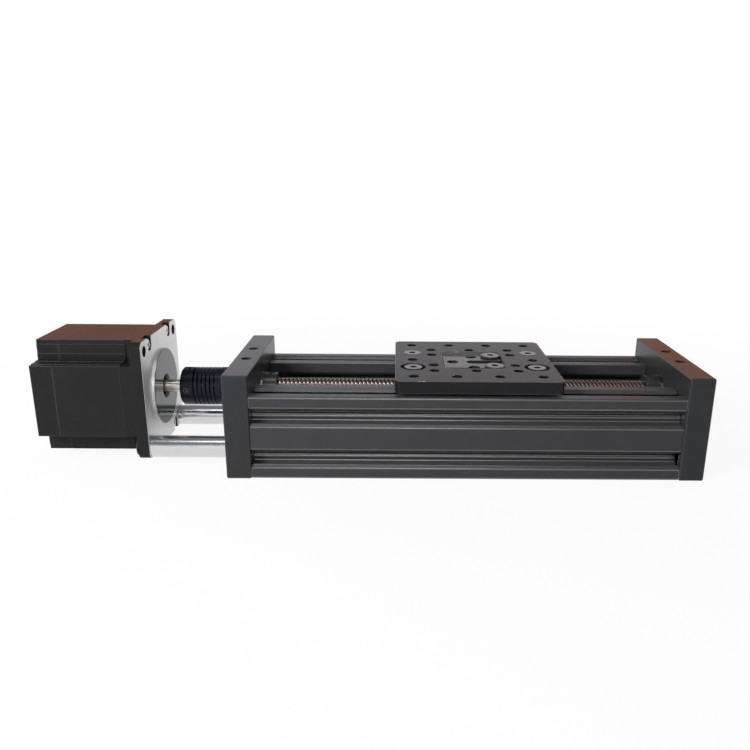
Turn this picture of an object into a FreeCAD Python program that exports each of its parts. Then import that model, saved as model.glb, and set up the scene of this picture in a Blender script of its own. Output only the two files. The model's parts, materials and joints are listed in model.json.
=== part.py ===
import FreeCAD, Part
import os
from types import SimpleNamespace

import Sketcher

# Lead screw linear slide: a C-shaped slotted beam between two end plates, a stepping motor on round
# spacers, a lead screw turned through a flexible coupling, and a wheeled carriage driven by a nut block.
# Millimetres. +X runs along the beam away from the motor, +Z is up, and the origin is the middle of
# the beam's underside.

SIZES = {
    # Beam: square cells on one pitch, with a slot in each outer cell face and a groove along its floor
    "beam_length": 200.0,
    "cell_pitch": 20.0,
    "slot_mouth": 9.16,
    "slot_neck": 6.2,
    "slot_lip": 1.8,
    "slot_cavity": 11.0,
    "slot_cavity_straight": 1.64,
    "slot_depth": 6.1,
    "slot_groove_width": 1.8,
    "slot_groove_depth": 0.6,
    "chamber_half": 5.5,
    "chamber_rib": 1.9,
    "beam_corner": 1.0,
    # End plates
    "plate_thickness": 11.7,
    "plate_overhang": 0.5,
    "plate_height": 50.0,
    "plate_chamfer": 0.5,
    "edge_hole_spacing": 20.0,
    "edge_hole_depth": 8.0,
    "plate_clear_hole": 12.0,
    "beam_screw_grip": 14.0,
    # Screws and fits
    "thread": 5.0,
    "clearance_hole": 5.5,
    "button_dia": 9.2,
    "button_height": 1.2,
    "button_slope": 20.0,
    "fit": 0.05,
    "running_gap": 0.1,
    # Lead screw line
    "axis_height": 33.0,
    "screw_dia": 8.0,
    "screw_end_inset": 1.0,
    "bearing_dia": 16.0,
    "bearing_inner_dia": 10.4,
    "bearing_width": 5.0,
    "shim_thickness": 0.5,
    "collar_dia": 14.0,
    "collar_width": 7.0,
    "set_screw_dia": 4.0,
    "set_screw_sink": 0.4,
    # Flexible coupling
    "coupling_dia": 19.0,
    "coupling_length": 25.0,
    "coupling_chamfer": 0.8,
    "coil_length": 12.3,
    "coil_pitch": 2.05,
    "coil_slit": 0.7,
    "shaft_gap": 1.0,
    # Motor
    "spacer_length": 38.6,
    "spacer_dia": 10.5,
    "motor_hole_pitch": 47.14,
    "motor_hole_edge": 5.08,
    "motor_hole": 5.2,
    "motor_corner": 3.0,
    "flange_thickness": 5.6,
    "flange_overhang": 1.05,
    "front_bell_length": 11.1,
    "stator_length": 31.1,
    "rear_bell_length": 10.5,
    "arm_width": 34.8,
    "case_ledge": 0.3,
    "case_ledge_upper": 2.1,
    "case_ledge_lower": 6.6,
    "pilot_dia": 38.1,
    "pilot_height": 1.6,
    "pilot_recess_dia": 12.0,
    "pilot_recess_depth": 3.0,
    "shaft_dia": 6.35,
    "shaft_length": 22.5,
    "shaft_clear_hole": 8.0,
    "motor_bearing_dia": 19.0,
    "motor_bearing_inner_dia": 10.0,
    "motor_bearing_width": 6.0,
    "rotor_dia": 28.0,
    "rotor_gap": 0.3,
    "rotor_end_gap": 1.5,
    "case_screw_dia": 3.0,
    "case_screw_head": 5.4,
    "case_screw_head_height": 2.4,
    "case_screw_inset": 2.2,
    "case_screw_edge": 3.65,
    "case_pocket_dia": 6.0,
    "case_pocket_depth": 3.0,
    "case_screw_end_gap": 0.5,
    "mount_screw_grip": 9.0,
    "grommet_dia": 8.0,
    "grommet_bore": 4.4,
    "grommet_height": 1.6,
    # Carriage plate
    "carriage_rest": 5.35,
    "hole_grid": 10.0,
    "carriage_edge": 8.75,
    "carriage_thickness": 6.0,
    "carriage_corner": 3.0,
    "window_gap_x": 0.25,
    "window_gap_y": 1.25,
    "window_corner": 4.0,
    "eccentric_recess_dia": 12.4,
    "eccentric_recess_depth": 3.0,
    # Wheels and axles
    "wheel_dia": 15.23,
    "wheel_width": 8.8,
    "wheel_crown": 5.8,
    "flank_gap": 0.15,
    "wheel_bearing_dia": 10.0,
    "wheel_bearing_inner_dia": 6.9,
    "wheel_bearing_width": 4.0,
    "axle_shim": 1.0,
    "axle_end_proud": 0.2,
    "axle_spacer_dia": 10.0,
    "axle_spacer_height": 6.0,
    "eccentric_flats": 10.0,
    "eccentric_boss_dia": 7.1,
    "eccentricity": 0.5,
    "nut_flats": 8.0,
    "nut_height": 2.7,
    # Nut block
    "block_sink": 1.1,
    "block_width": 22.0,
    "block_lug_dia": 9.5,
    "block_window_gap": 0.5,
    "block_slot": 5.6,
    "block_hole_depth": 9.0,
    "block_drop": 9.0,
    "block_body_width": 18.0,
    "block_body_length": 34.0,
    "block_flange_margin": 2.8,
    "block_screw_seat": 3.0,
    "block_screw_bite": 5.0,
    "washer_dia": 10.0,
    "washer_thickness": 1.0,
    "block_screw_length": 14.0,
}

# How close a measured place or direction comes to the one that is looked for
NEAR = 1e-6
PARALLEL = 0.999

doc = FreeCAD.newDocument("lead_screw_slide")
sheet = doc.addObject("Spreadsheet::Sheet", "Sizes")
for row, (alias, number) in enumerate(SIZES.items(), start=1):
    sheet.set(f"A{row}", alias)
    sheet.set(f"B{row}", str(number))
    sheet.setAlias(f"B{row}", alias)
doc.recompute()


class Size:
    """A length with its present value and the sheet expression that it is bound to."""

    def __init__(self, value, text):
        self.value = value
        self.text = text

    def joined(self, sign, other, value):
        return Size(value, f"({self.text} {sign} {other.text})")

    def __add__(self, other):
        other = sized(other)
        return self.joined("+", other, self.value + other.value)

    def __sub__(self, other):
        other = sized(other)
        return self.joined("-", other, self.value - other.value)

    def __mul__(self, other):
        other = sized(other)
        return self.joined("*", other, self.value * other.value)

    def __truediv__(self, other):
        other = sized(other)
        return self.joined("/", other, self.value / other.value)

    def __neg__(self):
        return self * -1

    __radd__ = __add__
    __rmul__ = __mul__

    def __rsub__(self, other):
        return sized(other) - self


def sized(number):
    return number if isinstance(number, Size) else Size(float(number), f"({number})")


def bind(obj, path, size):
    """Tie one property of an object to the sheet."""
    obj.setExpression(path, sized(size).text)


d = SimpleNamespace(**{alias: Size(number, f"Sizes.{alias}") for alias, number in SIZES.items()})


class Drawing:
    """A sketch on one of a body's own origin planes, with every point dimensioned from its origin."""

    def __init__(self, body, plane, offset=0):
        self.sketch = body.newObject("Sketcher::SketchObject", "Sketch")
        support = [feature for feature in body.Origin.OriginFeatures if feature.Role == plane]
        self.sketch.AttachmentSupport = [(support[0], "")]
        self.sketch.MapMode = "FlatFace"
        bind(self.sketch, "AttachmentOffset.Base.z", offset)

    def dimension(self, kind, size, *where):
        index = self.sketch.addConstraint(Sketcher.Constraint(kind, *where, size.value))
        bind(self.sketch, f"Constraints[{index}]", size)

    def fix(self, curve, point, x, y):
        self.dimension("DistanceX", sized(x), -1, 1, curve, point)
        self.dimension("DistanceY", sized(y), -1, 1, curve, point)

    def polygon(self, points):
        corners = [FreeCAD.Vector(sized(x).value, sized(y).value, 0) for x, y in points]
        ends = corners[1:] + corners[:1]
        lines = [self.sketch.addGeometry(Part.LineSegment(a, b), False) for a, b in zip(corners, ends)]
        for line, following in zip(lines, lines[1:] + lines[:1]):
            self.sketch.addConstraint(Sketcher.Constraint("Coincident", line, 2, following, 1))
        for line, (x, y) in zip(lines, points):
            self.fix(line, 1, x, y)
        return self

    def rectangle(self, x, y, width, height):
        left, right = x - width / 2, x + width / 2
        low, high = y - height / 2, y + height / 2
        return self.polygon([(left, low), (right, low), (right, high), (left, high)])

    def circle(self, x, y, radius):
        centre = FreeCAD.Vector(sized(x).value, sized(y).value, 0)
        curve = self.sketch.addGeometry(Part.Circle(centre, FreeCAD.Vector(0, 0, 1), radius.value), False)
        self.fix(curve, 3, x, y)
        self.dimension("Radius", radius, curve)
        return self

    def circles(self, places, radius):
        for x, y in places:
            self.circle(x, y, radius)
        return self

    def hexagon(self, x, y, flats):
        """Flats face the drawing's Y."""
        half = flats / 2
        corner = flats / 3 ** 0.5
        ring = [(corner, 0), (corner / 2, half), (-corner / 2, half)]
        ring += [(-px, -py if isinstance(py, Size) else 0) for px, py in ring]
        return self.polygon([(x + px, y + py) for px, py in ring])


def new_body(label, x=0, y=0, z=0):
    body = doc.addObject("PartDesign::Body", label)
    body.Label = label
    body.AllowCompound = True
    for name, size in zip("xyz", (x, y, z)):
        bind(body, f"Placement.Base.{name}", size)
    return body


def pad(body, drawing, length, back=False, taper=None):
    """Raise a drawing along its plane's normal, or against it."""
    feature = body.newObject("PartDesign::Pad", "Pad")
    feature.Profile = drawing.sketch
    feature.Reversed = back
    bind(feature, "Length", length)
    if taper is not None:
        bind(feature, "TaperAngle", -taper)
    drawing.sketch.Visibility = False
    return feature


def pocket(body, drawing, length=None, forward=False):
    """Sink a drawing against its plane's normal, or along it, or right through where no length is given."""
    doc.recompute()
    before = body.Shape.Volume
    feature = body.newObject("PartDesign::Pocket", "Pocket")
    feature.Profile = drawing.sketch
    if length is None:
        feature.Type = "ThroughAll"
        feature.SideType = "Symmetric"
    else:
        feature.Reversed = forward
        bind(feature, "Length", length)
    doc.recompute()
    if not body.Shape.Volume < before:
        raise RuntimeError(f"{body.Label}: a pocket removes nothing")
    return feature


def revolve(body, drawing):
    """Turn a drawing about its own vertical axis."""
    feature = body.newObject("PartDesign::Revolution", "Revolution")
    feature.Profile = drawing.sketch
    feature.ReferenceAxis = (drawing.sketch, ["V_Axis"])
    return feature


def dress(body, kind, size, chosen):
    """Fillet or chamfer the edges for which chosen(edge) is true."""
    doc.recompute()
    names = [f"Edge{number}" for number, edge in enumerate(body.Shape.Edges, start=1) if chosen(edge)]
    base = body.Tip
    feature = body.newObject(f"PartDesign::{kind}", kind)
    feature.Base = (base, names)
    bind(feature, "Radius" if kind == "Fillet" else "Size", size)
    return feature


def straight_along(edge, axis):
    """True for a straight edge that runs along one axis of the model."""
    return edge.Curve.TypeId == "Part::GeomLine" and abs(edge.Curve.Direction[axis]) > PARALLEL


# Places shared by several pieces

HALF_BEAM = d.beam_length / 2
CHANNEL_HALF = d.cell_pitch
BEAM_HALF_WIDTH = d.cell_pitch * 2
BEAM_HEIGHT = d.cell_pitch * 2
ARM_CENTRE = d.cell_pitch * 1.5
HALF_CELL = d.cell_pitch / 2
SHANK_RADIUS = d.thread / 2 - d.fit
MOTOR_FACE = -(HALF_BEAM + d.plate_thickness + d.spacer_length)
SHAFT_END = MOTOR_FACE + d.shaft_length
SCREW_START = SHAFT_END + d.shaft_gap
SCREW_END = HALF_BEAM + d.plate_thickness - d.screw_end_inset
HOLE_HALF = d.motor_hole_pitch / 2
FLANGE_HALF = HOLE_HALF + d.motor_hole_edge
CASE_HALF = FLANGE_HALF - d.flange_overhang
STATOR_FRONT = MOTOR_FACE - d.front_bell_length
STATOR_REAR = STATOR_FRONT - d.stator_length
CELLS = [(side * ARM_CENTRE, HALF_CELL) for side in (-1, 1)]
CELLS += [(side * HALF_CELL, HALF_CELL) for side in (-1, 1)]
CELLS += [(side * ARM_CENTRE, ARM_CENTRE) for side in (-1, 1)]
PLATE_SCREWS = [(side * ARM_CENTRE, ARM_CENTRE) for side in (-1, 1)]
PLATE_SCREWS += [(side * HALF_CELL, HALF_CELL) for side in (-1, 1)]
SPACER_PLACES = [(side * HOLE_HALF, d.axis_height - HOLE_HALF) for side in (-1, 1)]

STACK = d.wheel_bearing_width * 2 + d.axle_shim
CARRIAGE_LOW = ARM_CENTRE + STACK / 2 + d.axle_shim + d.axle_spacer_height
CARRIAGE_TOP = CARRIAGE_LOW + d.carriage_thickness
CARRIAGE_HALF = d.hole_grid * 3 + d.carriage_edge
WINDOW_HALF_X = d.hole_grid + d.block_lug_dia / 2 + d.window_gap_x
WINDOW_HALF_Y = d.hole_grid + d.block_lug_dia / 2 + d.window_gap_y
AXLE_X = d.hole_grid * 3
AXLE_Y = CHANNEL_HALF - (d.wheel_dia + d.wheel_crown - d.slot_mouth) / 2 - d.flank_gap
BLOCK_TOP = CARRIAGE_TOP - d.block_sink
BLOCK_SCREWS = [(d.hole_grid, side * d.hole_grid) for side in (-1, 1)]
FIXING_SCREWS = [(end * d.hole_grid * 2, side * d.hole_grid) for end in (-1, 1) for side in (-1, 1)]


def slot_points(centre, face, inward, sideways):
    """Outline of one V-mouthed slot: across it, then depth from the face, as drawing coordinates."""
    mouth, neck, cavity = d.slot_mouth / 2, d.slot_neck / 2, d.slot_cavity / 2
    bevel_end = mouth - neck
    taper_start = d.slot_lip + d.slot_cavity_straight
    floor = cavity - (d.slot_depth - taper_start)
    half = [
        (mouth, sized(0)),
        (neck, bevel_end),
        (neck, d.slot_lip),
        (cavity, d.slot_lip),
        (cavity, taper_start),
        (floor, d.slot_depth),
        (d.slot_groove_width / 2, d.slot_depth),
    ]
    groove = [(sized(0), d.slot_depth + d.slot_groove_depth)]
    outline = half + groove + [(-across, depth) for across, depth in reversed(half)]
    if sideways:
        return [(face + inward * depth, centre + across) for across, depth in outline]
    return [(centre + across, face + inward * depth) for across, depth in outline]


def chamber_points(across, along, sideways):
    """Outline of the closed chamber between two cells: bevelled so that its ribs keep one thickness."""
    narrow = (d.cell_pitch - d.slot_cavity) / 2 - d.slot_cavity_straight - d.chamber_rib
    end = HALF_CELL - d.slot_lip
    bevel = end - (d.chamber_half - narrow)
    quarter = [(narrow, end), (d.chamber_half, bevel)]
    half = quarter + [(x, -y) for x, y in reversed(quarter)]
    outline = half + [(-x, -y) for x, y in half]
    if sideways:
        return [(across + y, along + x) for x, y in outline]
    return [(across + x, along + y) for x, y in outline]


def make_beam():
    body = new_body("c_beam", x=-HALF_BEAM)
    section = Drawing(body, "YZ_Plane")
    width, height, floor = BEAM_HALF_WIDTH, BEAM_HEIGHT, d.cell_pitch
    section.polygon([
        (-width, sized(0)), (width, sized(0)), (width, height), (CHANNEL_HALF, height),
        (CHANNEL_HALF, floor), (-CHANNEL_HALF, floor), (-CHANNEL_HALF, height), (-width, height),
    ])
    pad(body, section, d.beam_length)
    outer_heights = (0.0, BEAM_HEIGHT.value)

    def outer_corner(edge):
        place = edge.BoundBox.Center
        on_side = abs(abs(place.y) - BEAM_HALF_WIDTH.value) < NEAR
        return straight_along(edge, 0) and on_side and min(abs(place.z - z) for z in outer_heights) < NEAR

    dress(body, "Fillet", d.beam_corner, outer_corner)

    underside = Drawing(body, "YZ_Plane")
    for centre in (-ARM_CENTRE, -HALF_CELL, HALF_CELL, ARM_CENTRE):
        underside.polygon(slot_points(centre, sized(0), 1, sideways=False))
    pocket(body, underside)

    flanks = Drawing(body, "YZ_Plane")
    for side in (-1, 1):
        for centre in (HALF_CELL, ARM_CENTRE):
            flanks.polygon(slot_points(centre, side * BEAM_HALF_WIDTH, -side, sideways=True))
    pocket(body, flanks)

    tops = Drawing(body, "YZ_Plane")
    for side in (-1, 1):
        tops.polygon(slot_points(side * ARM_CENTRE, BEAM_HEIGHT, -1, sideways=False))
        tops.polygon(slot_points(side * HALF_CELL, d.cell_pitch, -1, sideways=False))
    pocket(body, tops)

    rails = Drawing(body, "YZ_Plane")
    for side in (-1, 1):
        rails.polygon(slot_points(ARM_CENTRE, side * CHANNEL_HALF, side, sideways=True))
    pocket(body, rails)

    hollows = Drawing(body, "YZ_Plane")
    for middle in (-d.cell_pitch, sized(0), d.cell_pitch):
        hollows.polygon(chamber_points(middle, HALF_CELL, sideways=False))
    for side in (-1, 1):
        hollows.polygon(chamber_points(side * ARM_CENTRE, d.cell_pitch, sideways=True))
    hollows.circles(CELLS, d.thread / 2)
    pocket(body, hollows)
    return body


def make_end_plate(label, side):
    """One end plate, with its bearing seat on the face towards the beam."""
    outward = side > 0
    body = new_body(label, x=side * HALF_BEAM)
    face = Drawing(body, "YZ_Plane")
    face.rectangle(sized(0), d.plate_height / 2, (BEAM_HALF_WIDTH + d.plate_overhang) * 2, d.plate_height)
    pad(body, face, d.plate_thickness, back=not outward)
    dress(body, "Chamfer", d.plate_chamfer, lambda edge: True)

    edge_holes = Drawing(body, "XY_Plane", d.plate_height)
    for across in (-1, 1):
        edge_holes.circle(side * d.plate_thickness / 2, across * d.edge_hole_spacing / 2, d.thread / 2)
    pocket(body, edge_holes, d.edge_hole_depth)

    seat = Drawing(body, "YZ_Plane").circle(0, d.axis_height, d.bearing_dia / 2 + d.fit)
    pocket(body, seat, d.bearing_width, forward=outward)
    holes = Drawing(body, "YZ_Plane").circle(0, d.axis_height, d.plate_clear_hole / 2)
    holes.circles(PLATE_SCREWS, d.clearance_hole / 2)
    if not outward:
        holes.circles(SPACER_PLACES, d.thread / 2)
    pocket(body, holes)
    return body


def make_button_screws(label, places, plane, head_face, shank, back, x=0, y=0, z=0):
    """Button-headed screws whose heads sit on one face; back turns them over."""
    body = new_body(label, x, y, z)
    pad(body, Drawing(body, plane, head_face).circles(places, SHANK_RADIUS), shank, back=not back)
    heads = Drawing(body, plane, head_face).circles(places, d.button_dia / 2)
    pad(body, heads, d.button_height, back=back, taper=d.button_slope)
    return body


def make_rings(label, places, plane, start, outer, bore, length, x=0, y=0, z=0):
    """Plain rings of one size, one for each place."""
    body = new_body(label, x, y, z)
    faces = Drawing(body, plane, start).circles(places, outer)
    faces.circles(places, bore)
    pad(body, faces, length)
    return body


def make_shaft_bearing(prefix, start, dia, inner_dia, bore, width):
    """A shielded bearing on the screw axis, as its outer and inner ring with the running gap between."""
    centre = [(0, 0)]
    make_rings(f"{prefix}_outer", centre, "YZ_Plane", 0, dia / 2, inner_dia / 2 + d.running_gap, width,
               x=start, z=d.axis_height)
    make_rings(f"{prefix}_inner", centre, "YZ_Plane", 0, inner_dia / 2, bore / 2 + d.fit, width,
               x=start, z=d.axis_height)


def make_lead_screw():
    body = new_body("lead_screw", x=SCREW_START, z=d.axis_height)
    pad(body, Drawing(body, "YZ_Plane").circle(0, 0, d.screw_dia / 2), SCREW_END - SCREW_START)
    return body


def make_collars():
    radius = d.collar_dia / 2
    for label, side in (("motor_end_collar", -1), ("far_end_collar", 1)):
        inner = HALF_BEAM - d.shim_thickness - d.collar_width
        start = inner if side > 0 else -(inner + d.collar_width)
        body = make_rings(label, [(0, 0)], "YZ_Plane", 0, radius, d.screw_dia / 2 + d.fit, d.collar_width,
                          x=start, z=d.axis_height)
        hole = Drawing(body, "XY_Plane", radius).circle(d.collar_width / 2, 0, d.set_screw_dia / 2)
        pocket(body, hole, radius)
    screws = new_body("collar_set_screws", z=d.axis_height)
    middle = HALF_BEAM - d.shim_thickness - d.collar_width / 2
    places = [(side * middle, 0) for side in (-1, 1)]
    bottom = d.screw_dia / 2 + d.fit
    ends = Drawing(screws, "XY_Plane", bottom).circles(places, d.set_screw_dia / 2 - d.fit)
    pad(screws, ends, radius - d.set_screw_sink - bottom)


def make_thrust_shims():
    places = [(0, 0)]
    for label, start in (
        ("motor_end_shim", -HALF_BEAM),
        ("far_end_shim", HALF_BEAM - d.shim_thickness),
    ):
        make_rings(label, places, "YZ_Plane", 0, d.bearing_inner_dia / 2, d.screw_dia / 2 + d.fit,
                   d.shim_thickness, x=start, z=d.axis_height)


def make_coupling():
    """Clamped sleeve with a helical slit through the wall of its middle, which lets it flex."""
    half = d.coupling_length / 2
    middle = SHAFT_END + d.shaft_gap / 2
    body = new_body("coupling", x=middle, z=d.axis_height)
    radius = d.coupling_dia / 2
    pad(body, Drawing(body, "YZ_Plane", -half).circle(0, 0, radius), d.coupling_length)

    def rim(edge):
        return abs(abs(edge.BoundBox.Center.x - middle.value) - half.value) < NEAR

    dress(body, "Chamfer", d.coupling_chamfer, rim)
    motor_bore = Drawing(body, "YZ_Plane", -half).circle(0, 0, d.shaft_dia / 2 + d.fit)
    pocket(body, motor_bore, half, forward=True)
    screw_bore = Drawing(body, "YZ_Plane", half).circle(0, 0, d.screw_dia / 2 + d.fit)
    pocket(body, screw_bore, half)

    # The slit's section reaches from inside the bores to outside the sleeve
    slit = Drawing(body, "XZ_Plane")
    slit_low, slit_high = d.shaft_dia / 4, radius + d.coil_slit
    slit.rectangle(-d.coil_length / 2, (slit_low + slit_high) / 2, d.coil_slit, slit_high - slit_low)
    coil = body.newObject("PartDesign::SubtractiveHelix", "Coil")
    coil.Profile = slit.sketch
    coil.ReferenceAxis = (slit.sketch, ["H_Axis"])
    coil.Mode = "pitch-height-angle"
    bind(coil, "Pitch", d.coil_pitch)
    bind(coil, "Height", d.coil_length)

    # Two set screws at each end, a quarter turn apart
    screw_middle = (half + d.coil_length / 2) / 2
    screws = new_body("coupling_screws", x=middle, z=d.axis_height)
    for plane in ("XY_Plane", "XZ_Plane"):
        taps = Drawing(body, plane, radius)
        taps.circles([(end * screw_middle, 0) for end in (-1, 1)], d.set_screw_dia / 2)
        pocket(body, taps, radius)
        for end, shaft in ((-1, d.shaft_dia), (1, d.screw_dia)):
            bottom = shaft / 2 + d.fit
            face = Drawing(screws, plane, bottom).circle(end * screw_middle, 0, d.set_screw_dia / 2 - d.fit)
            pad(screws, face, radius - d.set_screw_sink - bottom)


def cross_points(ledges):
    """Section of the motor case: a square with a notch out of each corner, and small ledges on its walls."""
    arm, half, corner = d.arm_width / 2, CASE_HALF, d.arm_width / 2
    wall = [(half, arm)]
    if ledges:
        for drop in (d.case_ledge_upper, d.case_ledge_lower):
            wall += [(half - drop, corner), (half - drop, corner + d.case_ledge)]
            corner = corner + d.case_ledge
    quarter = wall + [(corner, corner)] + [(y, x) for x, y in reversed(wall)]
    outline = quarter + [(-x, y) for x, y in reversed(quarter)]
    return outline + [(-x, -y) for x, y in outline]


def case_screw_places():
    edge = FLANGE_HALF - d.case_screw_edge
    across = d.arm_width / 2 - d.case_screw_inset
    return [(side * across, height * edge) for side in (-1, 1) for height in (-1, 1)]


def make_front_bell():
    body = new_body("motor_front_bell", x=MOTOR_FACE, z=d.axis_height)
    flange = Drawing(body, "YZ_Plane").rectangle(sized(0), sized(0), FLANGE_HALF * 2, FLANGE_HALF * 2)
    pad(body, flange, d.flange_thickness, back=True)

    def upright(edge):
        return straight_along(edge, 0)

    dress(body, "Fillet", d.motor_corner, upright)
    pad(body, Drawing(body, "YZ_Plane").polygon(cross_points(ledges=False)), d.front_bell_length, back=True)
    pad(body, Drawing(body, "YZ_Plane").circle(0, 0, d.pilot_dia / 2), d.pilot_height)

    corners = [(y * HOLE_HALF, z * HOLE_HALF) for y in (-1, 1) for z in (-1, 1)]
    holes = Drawing(body, "YZ_Plane").circles(corners, d.motor_hole / 2)
    holes.circles(case_screw_places(), d.case_screw_dia / 2 + d.fit)
    holes.circle(0, 0, d.shaft_clear_hole / 2)
    pocket(body, holes)
    recess = Drawing(body, "YZ_Plane", d.pilot_height).circle(0, 0, d.pilot_recess_dia / 2)
    pocket(body, recess, d.pilot_recess_depth)
    seat = Drawing(body, "YZ_Plane", -d.front_bell_length)
    pocket(body, seat.circle(0, 0, d.motor_bearing_dia / 2 + d.fit), d.motor_bearing_width, forward=True)

    # Each case screw's head lies in a pocket that opens at the flange's upper or lower edge
    pockets = Drawing(body, "YZ_Plane").circles(case_screw_places(), d.case_pocket_dia / 2)
    pocket(body, pockets, d.case_pocket_depth)
    mouths = Drawing(body, "YZ_Plane")
    for y, z in case_screw_places():
        outward = 1 if z.value > 0 else -1
        mouths.rectangle(y, z + outward * d.case_screw_edge / 2, d.case_pocket_dia, d.case_screw_edge)
    pocket(body, mouths, d.case_pocket_depth)
    return body


def make_motor_case():
    stator = new_body("motor_stator", x=STATOR_REAR, z=d.axis_height)
    section = Drawing(stator, "YZ_Plane").polygon(cross_points(ledges=True))
    section.circle(0, 0, d.rotor_dia / 2 + d.rotor_gap)
    section.circles(case_screw_places(), d.case_screw_dia / 2 + d.fit)
    pad(stator, section, d.stator_length)

    rear = new_body("motor_rear_bell", x=STATOR_REAR, z=d.axis_height)
    rear_section = Drawing(rear, "YZ_Plane").polygon(cross_points(ledges=True))
    pad(rear, rear_section, d.rear_bell_length, back=True)
    seat = Drawing(rear, "YZ_Plane").circle(0, 0, d.motor_bearing_dia / 2 + d.fit)
    pocket(rear, seat, d.motor_bearing_width)
    taps = Drawing(rear, "YZ_Plane").circles(case_screw_places(), d.case_screw_dia / 2 + d.fit)
    pocket(rear, taps, d.rear_bell_length / 2)
    wire_way = Drawing(rear, "XZ_Plane", -CASE_HALF).circle(-d.rear_bell_length / 2, 0, d.grommet_dia / 2)
    pocket(rear, wire_way, d.grommet_height, forward=True)

    grommet = new_body("wire_grommet", x=STATOR_REAR - d.rear_bell_length / 2, y=CASE_HALF, z=d.axis_height)
    rings = Drawing(grommet, "XZ_Plane").circle(0, 0, d.grommet_dia / 2 - d.fit)
    rings.circle(0, 0, d.grommet_bore / 2)
    pad(grommet, rings, d.grommet_height)

    screws = new_body("motor_case_screws", x=MOTOR_FACE, z=d.axis_height)
    tap_depth = d.rear_bell_length / 2
    shank = d.front_bell_length - d.case_pocket_depth + d.stator_length + tap_depth - d.case_screw_end_gap
    shanks = Drawing(screws, "YZ_Plane", -d.case_pocket_depth)
    pad(screws, shanks.circles(case_screw_places(), d.case_screw_dia / 2), shank, back=True)
    heads = Drawing(screws, "YZ_Plane", -d.case_pocket_depth)
    pad(screws, heads.circles(case_screw_places(), d.case_screw_head / 2), d.case_screw_head_height)


def make_rotor():
    rear_end = STATOR_REAR - d.motor_bearing_width
    shaft = new_body("motor_shaft", x=rear_end, z=d.axis_height)
    pad(shaft, Drawing(shaft, "YZ_Plane").circle(0, 0, d.shaft_dia / 2), SHAFT_END - rear_end)
    make_rings("motor_rotor", [(0, 0)], "YZ_Plane", 0, d.rotor_dia / 2, d.shaft_dia / 2 + d.fit,
               d.stator_length - d.rotor_end_gap * 2, x=STATOR_REAR + d.rotor_end_gap, z=d.axis_height)


def make_motor_mount():
    for label, place in zip(("near_spacer", "far_spacer"), SPACER_PLACES):
        make_rings(label, [place], "YZ_Plane", 0, d.spacer_dia / 2, d.thread / 2 + d.fit, d.spacer_length,
                   x=MOTOR_FACE)
    reach = d.flange_thickness + d.spacer_length + d.mount_screw_grip
    make_button_screws("motor_mount_screws", SPACER_PLACES, "YZ_Plane", MOTOR_FACE - d.flange_thickness,
                       reach, back=True)


def axle_places(sides, inset=0):
    return [(end * AXLE_X, side * (AXLE_Y - inset)) for side in sides for end in (-1, 1)]


def make_carriage_plate():
    body = new_body("gantry_plate", x=d.carriage_rest, z=CARRIAGE_LOW)
    outline = Drawing(body, "XY_Plane").rectangle(sized(0), sized(0), CARRIAGE_HALF * 2, CARRIAGE_HALF * 2)
    pad(body, outline, d.carriage_thickness)
    dress(body, "Fillet", d.carriage_corner, lambda edge: straight_along(edge, 2))

    window = Drawing(body, "XY_Plane").rectangle(sized(0), sized(0), WINDOW_HALF_X * 2, WINDOW_HALF_Y * 2)
    pocket(body, window)

    def window_corner(edge):
        place = edge.BoundBox.Center
        within = abs(place.y) < WINDOW_HALF_Y.value + NEAR
        return straight_along(edge, 2) and within

    dress(body, "Fillet", d.window_corner, window_corner)

    grid = d.hole_grid
    places = [(x * grid, y * grid) for x in (-3, -1, 1, 3) for y in (-3, 3)]
    places += [(x * grid, y * grid) for x in (-2, 0, 2) for y in (-2, 2)]
    places += FIXING_SCREWS
    places += [(x * grid, sized(0)) for x in (-3, 3)]
    places += axle_places((1,))
    pocket(body, Drawing(body, "XY_Plane").circles(places, d.thread / 2))

    eccentric = axle_places((-1,), d.eccentricity)
    pocket(body, Drawing(body, "XY_Plane").circles(eccentric, d.eccentric_boss_dia / 2 + d.fit))
    recesses = Drawing(body, "XY_Plane", d.carriage_thickness)
    pocket(body, recesses.circles(eccentric, d.eccentric_recess_dia / 2), d.eccentric_recess_depth)
    return body


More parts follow.
